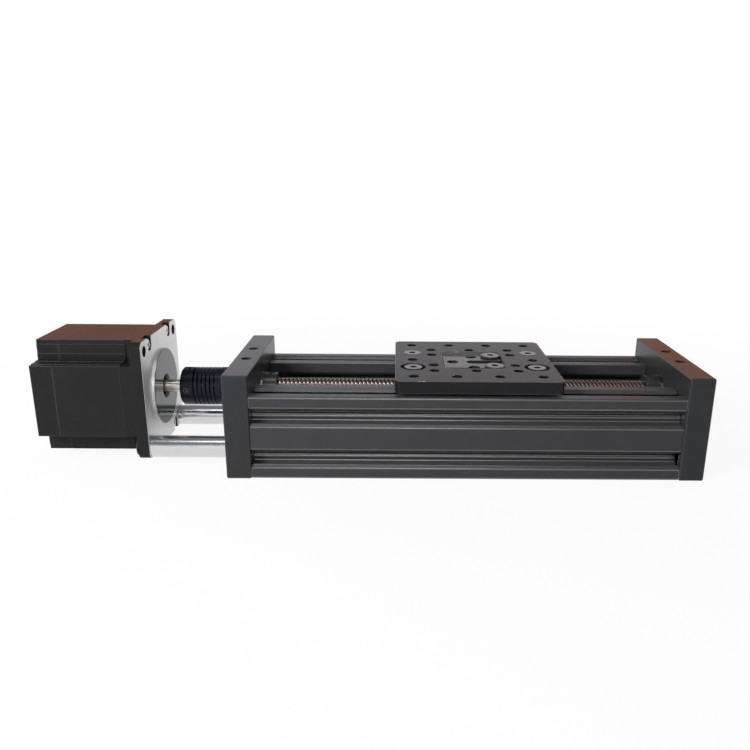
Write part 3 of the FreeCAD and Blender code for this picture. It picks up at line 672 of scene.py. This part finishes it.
def coupling_anodising():
    """Glossy black anodised sleeve with turning lines along X."""
    finish = Finish("coupling_anodising", IOR=1.25)
    x = finish.axes()[0]
    lines = (x * (TURN / (0.3 * MM)) + finish.noise(3 * MM) * 3.0).wave()
    cloud = finish.noise(4 * MM)
    finish.vary(Base_Color=finish.blend(cloud, (0.003, 0.004, 0.008, 1), (0.006, 0.008, 0.014, 1)),
                Roughness=cloud * 0.08 + lines * 0.06 + 0.18)
    return finish.bump(lines, 0.004 * MM).material


def stator_paint():
    """Black paint over stacked laminations: faint lines across X, soft unevenness and a few chips."""
    finish = Finish("stator_paint", IOR=1.27)
    sheets = (finish.axes()[0] * (TURN / SHEET_PITCH)).wave()
    cloud = finish.noise(12 * MM)
    peel = finish.noise(0.7 * MM)
    chips = finish.specks(spacing=9 * MM, radius=0.5 * MM, share=0.1)
    paint = finish.blend(cloud, (0.0068, 0.0062, 0.0064, 1), (0.0106, 0.0098, 0.0104, 1))
    finish.vary(Base_Color=finish.blend(chips, paint, CHIPPED_METAL), Metallic=chips,
                Roughness=cloud * 0.08 + peel * 0.06 + chips * 0.05 + 0.27)
    return finish.bump(sheets, 0.01 * MM).bump(peel, 0.012 * MM).material


def bell_paint():
    """Black paint on the cast motor bells, with the front face turned bare and its pilot polished."""
    finish = Finish("bell_paint", IOR=1.27)
    x = finish.axes()[0]
    face = x.rising(MOTOR_FACE - 0.25 * MM, MOTOR_FACE - 0.2 * MM)
    pilot = x.rising(MOTOR_FACE + 1.3 * MM, MOTOR_FACE + 1.5 * MM)
    bare = finish.specks(spacing=9 * MM, radius=0.45 * MM, share=0.06).larger(face)
    rings = (finish.off_axis() * (TURN / (0.5 * MM)) + finish.noise(3 * MM) * 2.0).wave()
    cloud = finish.noise(10 * MM)
    cast = finish.noise(0.5 * MM, detail=3.0)
    paint = finish.blend(cloud, (0.0058, 0.0054, 0.0056, 1), (0.0096, 0.009, 0.0096, 1))
    turned_face = finish.blend(finish.noise(6 * MM), grey(0.58), grey(0.70))
    metal = finish.blend(pilot, turned_face, grey(0.045, -0.03))
    paint_roughness = cloud * 0.08 + cast * 0.08 + 0.24
    face_roughness = rings * 0.08 + finish.noise(3 * MM) * 0.1 + 0.34
    metal_roughness = face_roughness * (1 - pilot) + pilot * 0.12
    finish.vary(Base_Color=finish.blend(bare, paint, metal), Metallic=bare,
                Roughness=paint_roughness * (1 - bare) + metal_roughness * bare)
    return finish.bump(cast * (1 - bare), 0.02 * MM).bump(rings * bare, 0.004 * MM).material


def turned_metal(name, colour, roughness, pitch):
    """Bright metal with turning lines across X."""
    finish = Finish(name, Metallic=1.0)
    lines = (finish.axes()[0] * (TURN / pitch) + finish.noise(4 * MM) * 4.0).wave()
    smears = finish.noise(2.5 * MM, detail=3.0, stretch=(3, 1, 1))
    finish.vary(Base_Color=finish.blend(smears, dimmed(colour, 0.9), colour),
                Roughness=lines * 0.05 + smears * 0.1 + roughness)
    return finish.bump(lines, 0.004 * MM).material


def plated_steel(name, colour, roughness):
    """Bright plated steel with handling marks."""
    finish = Finish(name, Metallic=1.0)
    smears = finish.noise(1.6 * MM, detail=3.0)
    grain = finish.noise(0.1 * MM)
    finish.vary(Base_Color=finish.blend(smears, dimmed(colour, 0.86), colour),
                Roughness=smears * 0.14 + grain * 0.06 + roughness)
    return finish.bump(grain, 0.004 * MM).material


def thread_with_root_shade():
    """Rolled steel thread, bright on its crests and its ends, darker brown in its roots as painted shade, and
    warm in tint as a painted reflection.
    """
    finish = Finish("thread_with_root_shade")
    middle, reach = (screw_low.x + screw_high.x) / 2, (screw_high.x - screw_low.x) / 2
    chamfer = reach - END_CHAMFER
    inside = (finish.axes()[0] - middle).size().rising(chamfer, chamfer - 0.1 * MM)
    # The roots are darker brown and a little less metallic: painted shade deep in the thread
    root_shade = finish.off_axis().rising(CREST_RADIUS - 0.25 * MM, CREST_RADIUS - 0.9 * MM) * inside
    smears = finish.noise(1.2 * MM, detail=3.0)
    # The steel's warm tint is a painted reflection of warm surroundings
    steel = finish.blend(smears, (0.34, 0.27, 0.245, 1), (0.48, 0.40, 0.37, 1))
    root_shade_brown = finish.blend(smears, (0.20, 0.134, 0.110, 1), (0.29, 0.202, 0.174, 1))
    finish.vary(Base_Color=finish.blend(root_shade, steel, root_shade_brown), Metallic=1.0 - root_shade * 0.15,
                Roughness=smears * 0.1 + root_shade * 0.08 + 0.22)
    return finish.bump(finish.noise(0.15 * MM), 0.006 * MM).material


def black_oxide():
    """Blackened steel with a trace of brown."""
    finish = Finish("black_oxide", IOR=1.6)
    smears = finish.noise(1.5 * MM, detail=3.0)
    finish.vary(Base_Color=finish.blend(smears, (0.010, 0.010, 0.012, 1), (0.020, 0.018, 0.016, 1)),
                Roughness=smears * 0.16 + 0.24)
    return finish.bump(finish.noise(0.12 * MM), 0.005 * MM).material


def nut_plastic():
    """Black machined plastic, smooth enough to shine, with fine cutter lines on its top."""
    finish = Finish("nut_plastic", IOR=1.54)
    cloud = finish.noise(6 * MM)
    cutter = finish.noise(0.3 * MM, stretch=(60, 1, 1))
    grain = finish.noise(0.2 * MM)
    finish.vary(Base_Color=finish.blend(cloud, grey(0.014), grey(0.022)),
                Roughness=cutter * 0.08 + grain * 0.06 + 0.14)
    return finish.bump(cutter, 0.006 * MM).bump(grain, 0.005 * MM).material


def moulded_black(name, roughness, grain_size):
    """Black moulded plastic or rubber with its grain."""
    finish = Finish(name, IOR=1.48)
    cloud = finish.noise(3 * MM)
    grain = finish.noise(grain_size)
    finish.vary(Base_Color=finish.blend(cloud, grey(0.0112), grey(0.0168)),
                Roughness=grain * 0.12 + roughness)
    return finish.bump(grain, 0.02 * MM).material


# Pieces

def round_long_edges(piece, width, on_outside):
    """Rounds the sharp edges of the beam that lie on its outside, along its whole length."""
    unselect(piece, "EDGE")
    with edit_mode(piece):
        bpy.ops.mesh.edges_select_sharp(sharpness=SHARP_ANGLE)
    points = piece.data.vertices
    for edge in piece.data.edges:
        first, last = (points[index].co for index in edge.vertices)
        along = abs(first.x - last.x) > LONG_EDGE
        edge.select = edge.select and along and on_outside(first)
    with edit_mode(piece):
        bpy.ops.mesh.bevel(offset=width, segments=BEAM_CORNER_SEGMENTS, affect="EDGES")


def make_beam(finish, lips, rubbed):
    """The beam with its slot mouths and corners rounded more than the edges inside the slots.

    Its section has square faces, the slots' lips at 45 degrees, and roundings and grooves between them. The
    lips get a painted sheen, and the roundings and grooves are rubbed and get a stronger painted sheen."""
    low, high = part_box("c_beam")
    cell = (high.z - low.z) / 2

    def on_outside(point):
        side, top = abs(point.y), point.z
        planes = [side - high.y, side - cell, top - high.z, top - low.z, top - cell]
        return min(abs(distance) for distance in planes) < WELD

    piece = painted(whole_faces("c_beam"), finish)
    round_long_edges(piece, BEAM_CORNER, on_outside)
    eased(piece, BEAM_EDGE, sharp=TURNED_SHARP_ANGLE)
    painted(piece, finish, lips, rubbed)
    # Faces at the lips' tilt take the lips' painted sheen, other tilted faces the rubbed edges' sheen
    for face in piece.data.polygons:
        tilt = math.degrees(math.atan2(abs(face.normal.z), abs(face.normal.y)))
        if abs(face.normal.x) < MOST_TURN and TILT_MARGIN < tilt < 90 - TILT_MARGIN:
            face.material_index = 1 if abs(tilt - LIP_TILT) < TILT_MARGIN else 2
    stand_for(piece, "c_beam")


def make_lead_screw(finish):
    """Four-start trapezoidal thread: one lead of the profile, screwed along the axis and cut to length."""
    flat = THREAD_PITCH / 2 - FLANK_RUN
    lead = THREAD_PITCH * THREAD_STARTS
    leads = math.ceil((screw_high.x - screw_low.x) / lead) + 2
    points = [Vector((screw_low.x - lead, 0, CREST_RADIUS - THREAD_DEPTH))]
    tooth = [(FLANK_RUN, THREAD_DEPTH), (flat, 0), (FLANK_RUN, -THREAD_DEPTH), (flat, 0)]
    for step, rise in tooth * THREAD_STARTS:
        points.append(points[-1] + Vector((step, 0, rise)))
    piece = drawn("lead_screw_threaded", points)
    modified(piece, "SCREW", axis="X", angle=TURN, screw_offset=lead, iterations=leads, steps=THREAD_STEPS,
             render_steps=THREAD_STEPS, use_merge_vertices=True, merge_threshold=WELD)
    with editing(piece):
        bpy.ops.mesh.remove_doubles(threshold=WELD)
        for end, outward in ((screw_low.x, -1), (screw_high.x, 1)):
            bpy.ops.mesh.bisect(plane_co=(end, 0, 0), plane_no=(outward, 0, 0), clear_outer=True,
                                use_fill=True)
            bpy.ops.mesh.select_all(action="SELECT")
        bpy.ops.mesh.normals_make_consistent(inside=False)
    inner, outer = CREST_RADIUS - END_CHAMFER, CREST_RADIUS + END_CHAMFER
    ring = [(inner, 0), (outer, -2 * END_CHAMFER), (outer, END_CHAMFER), (inner, END_CHAMFER), (inner, 0)]
    cut(piece, placed(turned("chamfer", ring), facing((1, 0, 0), (screw_high.x, 0, 0))))
    placed(piece, Matrix.Translation((0, 0, AXIS_Z)))
    shaded(piece, THREAD_SMOOTH_ANGLE)
    stand_for(painted(piece, finish), "lead_screw")


def dome(radius, flat, height, rim, under):
    """Outline of a low domed head, from the bevel under its rim to its flat top, as an arc."""
    points = [(radius - under, 0.0), (radius, under * UNDER_SLOPE), (radius, rim)]
    for step in range(1, ARC_STEPS + 1):
        angle = step / ARC_STEPS * TURN / 4
        points.append((flat + (radius - flat) * math.cos(angle), rim + (height - rim) * math.sin(angle)))
    return points


def shank(length, top):
    """Outline of a screw's shank, from its chamfered end to its top."""
    return [(0.0, -length), (SHANK_RADIUS - SHANK_CHAMFER, -length), (SHANK_RADIUS, SHANK_CHAMFER - length),
            (SHANK_RADIUS, top)]


def flat_screw(length):
    """Countersunk screw with its flat top a little above Z 0 and its shank below."""
    rim_low = FLAT_PROUD - FLAT_RIM
    outline = shank(length, rim_low - (FLAT_RADIUS - SHANK_RADIUS))
    outline += [(FLAT_RADIUS, rim_low), (FLAT_RADIUS, FLAT_PROUD), (0.0, FLAT_PROUD)]
    piece = turned("flat_screw", outline)
    key_socket(piece, FLAT_KEY, FLAT_PROUD, FLAT_KEY_DEPTH)
    eased(piece, FLAT_SCREW_EDGE, sharp=TURNED_SHARP_ANGLE)
    return piece


def button_screw(length):
    """Button-headed screw standing on Z 0 with its shank below."""
    outline = shank(length, 0.0)
    outline += dome(BUTTON_RADIUS, BUTTON_FLAT, BUTTON_HEIGHT, BUTTON_RIM, BUTTON_UNDER)
    piece = turned("button_screw", outline + [(0.0, BUTTON_HEIGHT)])
    key_socket(piece, BUTTON_KEY, BUTTON_HEIGHT, BUTTON_KEY_DEPTH)
    eased(piece, BUTTON_SCREW_EDGE, sharp=TURNED_SHARP_ANGLE)
    return piece


def pan_screw(length):
    """Pan-headed screw with a cross recess, standing on Z 0 with its shank below."""
    outline = [(0.0, -length), (CASE_SHANK_RADIUS, -length), (CASE_SHANK_RADIUS, 0.0)]
    outline += dome(PAN_RADIUS, PAN_FLAT, PAN_HEIGHT, PAN_RIM, PAN_UNDER)
    piece = turned("pan_screw", outline + [(0.0, PAN_HEIGHT)])
    cross_socket(piece, PAN_HEIGHT)
    eased(piece, PAN_SCREW_EDGE, sharp=TURNED_SHARP_ANGLE)
    return piece


def set_screw(radius, length):
    """Headless screw with a hexagonal socket, its outer end on Z 0."""
    end = radius - SET_CHAMFER
    outline = [(0.0, -length), (end, -length), (radius, SET_CHAMFER - length), (radius, -SET_CHAMFER),
               (end, 0.0), (0.0, 0.0)]
    piece = turned("set_screw", outline)
    key_socket(piece, SET_KEY, 0.0, SET_KEY_DEPTH)
    eased(piece, SET_SCREW_EDGE, sharp=TURNED_SHARP_ANGLE)
    return piece


def make_screws(node, direction, head_height, pattern, finish):
    """Replaces the screws of one CAD node, whose heads all face one way, by modelled ones."""
    direction = Vector(direction)
    axis = max(range(3), key=lambda index: abs(direction[index]))
    places, lengths = [], []
    for low, high in solids(node):
        seat = (low + high) / 2
        end = high if direction[axis] > 0 else low
        seat[axis] = end[axis] - direction[axis] * head_height
        places.append(facing(direction, seat))
        lengths.append(high[axis] - low[axis] - head_height)
    stand_for(painted(copied(pattern(lengths[0]), places, f"{node}_modelled"), finish), node)


def make_set_screws(node, finish):
    """Replaces the set screws of one CAD node, which point along Y or Z, by modelled ones."""
    for number, (low, high) in enumerate(solids(node), start=1):
        size, middle = high - low, (low + high) / 2
        across = size.x
        axis = max((1, 2), key=lambda index: abs(size[index] - across))
        outward = Vector((0, 0, 0))
        outward[axis] = math.copysign(1, middle[axis] - (0, 0, AXIS_Z)[axis])
        end = middle + outward * size[axis] / 2
        piece = placed(set_screw(across / 2, size[axis]), facing(outward, end))
        piece.name = f"{node}_{number}"
        stand_for(painted(piece, finish), node)


# Studio

def make_camera():
    """Stands the camera where the photograph was taken from."""
    level = math.cos(CAMERA_DOWN)
    ahead = Vector((math.sin(CAMERA_AZIMUTH) * level, math.cos(CAMERA_AZIMUTH) * level,
                    -math.sin(CAMERA_DOWN)))
    right = ahead.cross(Vector((0, 0, 1))).normalized()
    up = right.cross(ahead)
    rolled_right = right * math.cos(CAMERA_ROLL) + up * math.sin(CAMERA_ROLL)
    rolled_up = up * math.cos(CAMERA_ROLL) - right * math.sin(CAMERA_ROLL)
    bpy.ops.object.camera_add()
    camera = bpy.context.object
    camera.name = "camera"
    turn = Matrix((rolled_right, rolled_up, -ahead)).transposed().to_4x4()
    camera.matrix_world = Matrix.Translation(CAMERA_PLACE) @ turn
    camera.data.sensor_width = SENSOR_WIDTH
    camera.data.lens = FOCAL_PIXELS / FRAME_PIXELS * SENSOR_WIDTH
    camera.data.shift_x = 0.5 - OPTICAL_AXIS_PIXEL[0] / FRAME_PIXELS
    camera.data.shift_y = OPTICAL_AXIS_PIXEL[1] / FRAME_PIXELS - 0.5
    camera.data.clip_start = CLIP_START
    bpy.context.scene.camera = camera


def seen_directly(shader):
    """1 for rays that show the surroundings themselves or their image in metal or glass."""
    camera, glossy, through = (shader.node("LightPath", output=f"Is {kind} Ray")
                               for kind in ("Camera", "Glossy", "Transmission"))
    return camera.larger(glossy).larger(through)


def make_world():
    """White surroundings, mirrored greyer overhead, whose light on the object is softer than their look."""
    world = bpy.data.worlds.new("studio")
    shader = Shader(world)
    background = shader.tree.nodes["Background"]
    height = shader.node("TexCoord", output="Generated").parts()[2].rising(*OVERHEAD_RISE)
    mirrored = 1 - shader.node("LightPath", output="Is Camera Ray")
    strength = seen_directly(shader) * (1 - WORLD_LIGHT) + WORLD_LIGHT
    shader.fill(background.inputs["Color"], shader.blend(height * mirrored, WHITE, OVERHEAD_GREY))
    shader.fill(background.inputs["Strength"], strength)
    bpy.context.scene.world = world


def make_floor():
    """Plain white floor, lit by itself where the camera sees it, wholly so away from the object's shadow."""
    floor = start("floor", bpy.ops.mesh.primitive_plane_add, size=FLOOR_SIZE, location=(0, 0, -FLOOR_GAP))
    finish = Finish("floor_white", Base_Color=FLOOR_GREY, Roughness=FLOOR_ROUGHNESS, Specular_IOR_Level=0.0)
    distance = finish.node("VectorMath", {0: finish.coordinates}, output="Value", operation="LENGTH")
    share = distance.rising(*FLOOR_GLOW_RISE) * (1 - FLOOR_GLOW) + FLOOR_GLOW
    matt = Value(finish, finish.surface.outputs[0])
    glow = finish.node("Emission", {"Strength": 1.0})
    finish.show(finish.node("MixShader", {"Fac": seen_directly(finish) * share, 1: matt, 2: glow}))
    floor.data.materials.append(finish.material)


def make_lamp(name, place, size, watts, mirrored=True):
    """A soft oblong lamp, turned to the object, which glossy surfaces may mirror or not."""
    bpy.ops.object.light_add(type="AREA", location=place)
    lamp = bpy.context.object
    lamp.name = name
    lamp.data.shape = "RECTANGLE"
    lamp.data.size, lamp.data.size_y = size
    lamp.data.energy = watts
    lamp.visible_camera = False
    lamp.visible_glossy = mirrored
    lamp.rotation_euler = (Vector((0, 0, AXIS_Z)) - Vector(place)).to_track_quat("-Z", "Y").to_euler()


def make_card(name, place, size, colour):
    """An upright card behind the object, out of the camera's sight, that only glossy surfaces mirror."""
    card = start(name, bpy.ops.mesh.primitive_plane_add, size=1, location=place,
                 rotation=(TURN / 4, 0, 0))
    card.scale = (*size, 1)
    material = bpy.data.materials.new(name)
    shader = Shader(material)
    shader.show(shader.node("Emission", {"Color": colour}))
    card.data.materials.append(material)
    card.visible_camera = False
    card.visible_diffuse = False
    card.visible_transmission = False
    card.visible_shadow = False


make_camera()
make_world()
make_floor()
make_lamp("key_lamp", place=(-0.48, -0.40, 0.34), size=(0.22, 0.3), watts=7.0, mirrored=False)
make_lamp("front_lamp", place=(-0.05, -0.75, 0.42), size=(0.3, 0.3), watts=1.3)
make_lamp("right_lamp", place=(0.9, 0.0, 0.45), size=(0.5, 0.5), watts=2.0)
make_lamp("overhead_lamp", place=(-0.1, -0.38, 1.1), size=(0.6, 0.3), watts=2.2)
make_lamp("back_lamp", place=(0.15, 0.8, 0.55), size=(0.6, 0.4), watts=4.2, mirrored=False)
make_card("left_card", place=(-0.47, 0.7, 0.22), size=(0.3, 0.36), colour=(0.75, 0.30, 0.17, 1))
make_card("right_card", place=(0.45, 0.7, 0.24), size=(0.34, 0.3), colour=(0.75, 0.26, 0.12, 1))
make_card("upper_card", place=(0.2, 0.72, 0.34), size=(0.5, 0.16), colour=(0.75, 0.57, 0.54, 1))
make_card("back_card", place=(0.0, 0.74, 0.3), size=(1.2, 0.3), colour=(0.88, 0.86, 0.95, 1))

beam_finish = beam_anodising("beam_anodising", gloss=1.22)
# The slot lips take the beam's anodising with a stronger reflection, a painted sheen that brightens them
lips_sheen_finish = beam_anodising("slot_lips_sheen", gloss=1.42)
plate_finish = plate_anodising()
# Eased edges get a stronger reflection than their finish: partly rubbed wear and partly painted sheen
beam_edges = rubbed_sheen_edges("rubbed_sheen_anodising", gloss=1.9, worn=0.74)
plate_edges = rubbed_sheen_edges("rubbed_sheen_plate", gloss=1.4, worn=0.74)
carriage_edges = rubbed_sheen_edges("rubbed_sheen_carriage", gloss=1.6, worn=0.63)
motor_edges = rubbed_sheen_edges("rubbed_sheen_paint", gloss=1.38, worn=0.74)
bells_finish = bell_paint()
steel_finish = plated_steel("plated_steel", (0.27, 0.27, 0.285, 1), roughness=0.2)
bearing_finish = plated_steel("bearing_steel", grey(0.60), roughness=0.2)
case_screw_finish = plated_steel("case_screw_steel", (0.78, 0.78, 0.79, 1), roughness=0.12)
# The coupling's set screws are nearly black: painted shade of the holes they sit in
shaded_set_screw_finish = plated_steel("shaded_set_screw_steel", (0.06, 0.06, 0.066, 1), roughness=0.2)
oxide_finish = black_oxide()
spacer_finish = turned_metal("polished_aluminium", (0.70, 0.70, 0.71, 1), roughness=0.1, pitch=0.4 * MM)
ground_finish = turned_metal("ground_steel", (0.80, 0.76, 0.72, 1), roughness=0.16, pitch=0.25 * MM)
wheel_finish = moulded_black("wheel_plastic", roughness=0.34, grain_size=0.25 * MM)
grommet_finish = moulded_black("grommet_rubber", roughness=0.55, grain_size=0.3 * MM)

make_beam(beam_finish, lips_sheen_finish, beam_edges)
for end in ("motor_end", "far_end"):
    dress(f"{end}_plate", PLATE_EDGE, plate_finish, plate_edges)
    dress(f"{end}_collar", COLLAR_EDGE, oxide_finish)
    finish_node(f"{end}_shim", ground_finish)
dress("gantry_plate", CARRIAGE_EDGE, tapped_anodising(), carriage_edges, screws="axle_screws")
dress("nut_block", BLOCK_EDGE, nut_plastic(), screws="nut_block_screws")
dress("nut_block_washers", WASHER_EDGE, oxide_finish, screws="nut_block_screws")
dress("motor_front_bell", BELL_EDGE, bells_finish)
dress("motor_rear_bell", BELL_EDGE, bells_finish, motor_edges)
dress("motor_stator", STATOR_EDGE, stator_paint(), motor_edges)
dress("wire_grommet", GROMMET_EDGE, grommet_finish)
finish_node("coupling", coupling_anodising())
for side in ("near", "far"):
    dress(f"{side}_spacer", SPACER_EDGE, spacer_finish)
    for end in ("left", "right"):
        dress(f"{side}_{end}_wheel", WHEEL_EDGE, wheel_finish)
        finish_node(f"{side}_{end}_bearings", bearing_finish)
for node in ("plain_spacers", "eccentric_spacers"):
    metal = turned_metal(f"{node}_metal", grey(0.74), roughness=0.2, pitch=0.3 * MM)
    dress(node, AXLE_EDGE, metal, screws="axle_screws")
dress("axle_nuts", AXLE_EDGE, steel_finish)
finish_node("axle_shims", steel_finish)
for node in ("motor_shaft", "motor_rotor"):
    finish_node(node, ground_finish)
for node in nodes:
    if node.endswith(("bearing_outer", "bearing_inner", "bearing_inners")):
        finish_node(node, bearing_finish)

make_lead_screw(thread_with_root_shade())
make_screws("axle_screws", (0, 0, 1), BUTTON_HEIGHT, flat_screw, steel_finish)
make_screws("nut_block_screws", (0, 0, 1), BUTTON_HEIGHT, flat_screw, steel_finish)
make_screws("block_fixing_screws", (0, 0, -1), BUTTON_HEIGHT, button_screw, steel_finish)
make_screws("motor_plate_screws", (-1, 0, 0), BUTTON_HEIGHT, button_screw, steel_finish)
make_screws("far_plate_screws", (1, 0, 0), BUTTON_HEIGHT, button_screw, steel_finish)
make_screws("motor_mount_screws", (-1, 0, 0), BUTTON_HEIGHT, button_screw, oxide_finish)
make_screws("motor_case_screws", (1, 0, 0), PAN_HEIGHT, pan_screw, case_screw_finish)
make_set_screws("coupling_screws", shaded_set_screw_finish)
make_set_screws("collar_set_screws", oxide_finish)

bpy.context.scene.view_settings.view_transform = "Standard"
